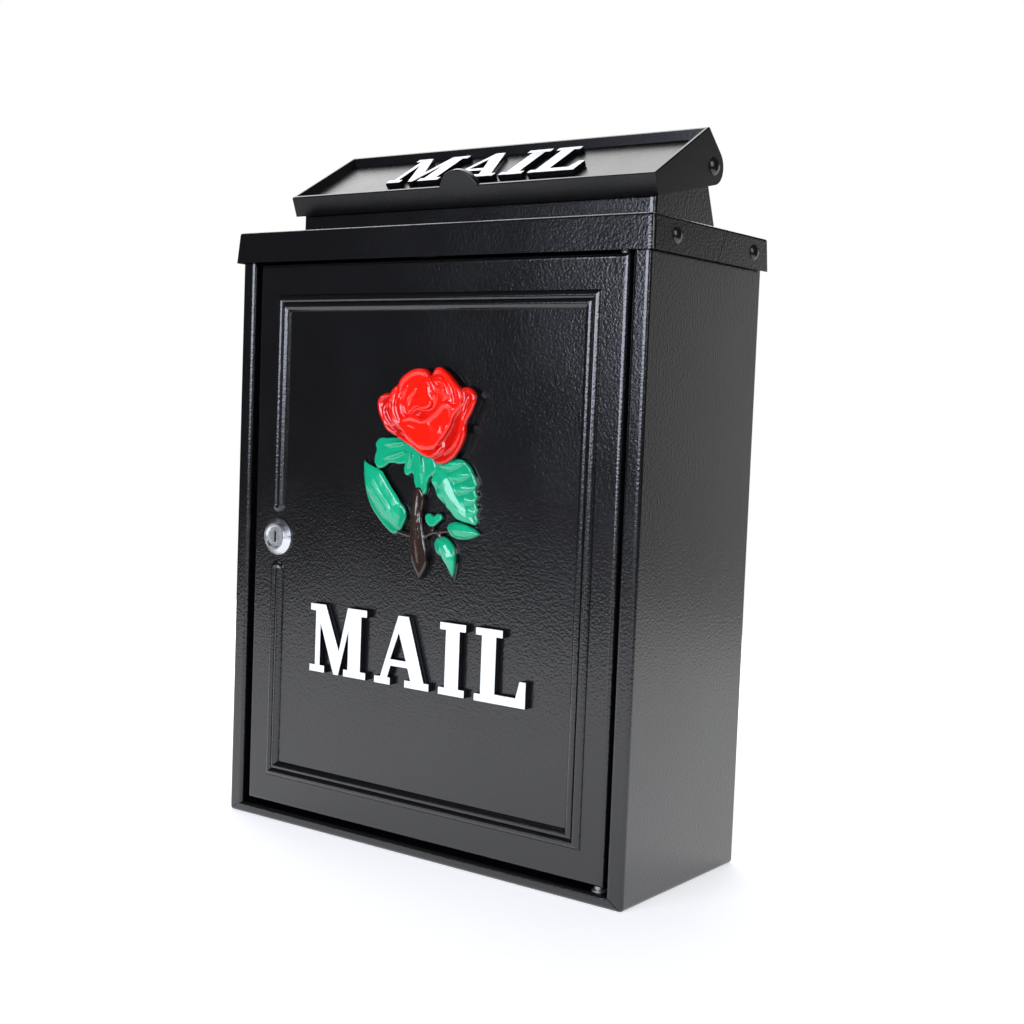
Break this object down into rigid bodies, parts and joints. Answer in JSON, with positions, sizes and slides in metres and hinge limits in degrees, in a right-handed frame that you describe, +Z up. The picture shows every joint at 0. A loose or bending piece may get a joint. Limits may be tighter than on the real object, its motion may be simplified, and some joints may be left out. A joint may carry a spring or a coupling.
{
  "type": "wall mailbox",
  "caption": "Black steel wall mailbox with a lockable hinged door bearing a double-bead moulding and a rose relief, a riveted cap, and a tilting lid over the letter inlet on top.",
  "frame": {"origin": "middle of the wall-screw hole pattern, on the outer face of the back, which lies against the wall", "axes": "+X to the right as seen from the front, +Y towards the wall, +Z up"},
  "size_m": [0.3104, 0.1355, 0.4284],
  "materials": {
    "black_coat": "semi-gloss black powder coat with a fine orange-peel texture, on sheet steel",
    "black_rivet": "black lacquered steel",
    "lid_casting": "semi-gloss black powder coat on cast aluminium",
    "nylon": "black nylon",
    "enamel": "glossy hand-painted enamel on castings: red bloom, green leaves, brown stem, white letter faces, black sides",
    "steel": "zinc-plated steel",
    "lock_chrome": "chrome-plated zinc"
  },
  "bodies": {
    "case": {"body_shell": "black_coat", "top_rail": "black_coat", "top_cap": "black_coat", "cap_rivets": "black_rivet", "inlet_neck": "black_coat", "flap_pivots": "black_rivet", "pivot_spacers": "nylon", "hinge_washer": "steel"},
    "lid": {"flap_lid": "lid_casting"},
    "door": {"door_panel": "black_coat", "rose_ornament": "enamel", "hinge_pin_upper": "steel", "hinge_pin_lower": "steel", "lock_body": "lock_chrome", "lock_nut": "steel"},
    "lock_core": {"lock_plug": "lock_chrome", "lock_cam": "steel", "cam_washer": "steel", "cam_screw": "steel"}
  },
  "joints": [
    {"name": "door_hinge", "type": "hinge", "parent": "case", "child": "door", "pos_m": [0.1313, -0.1185, 0], "axis": [0, 0, 1], "range_deg": [0, 110]},
    {"name": "lid_hinge", "type": "hinge", "parent": "case", "child": "lid", "pos_m": [0, -0.0343, 0.22277], "axis": [-1, 0, 0], "range_deg": [0, 80]},
    {"name": "lock_turn", "type": "hinge", "parent": "door", "child": "lock_core", "pos_m": [-0.1137, -0.1235, -0.0045], "axis": [0, 1, 0], "range_deg": [0, 90]}
  ]
}
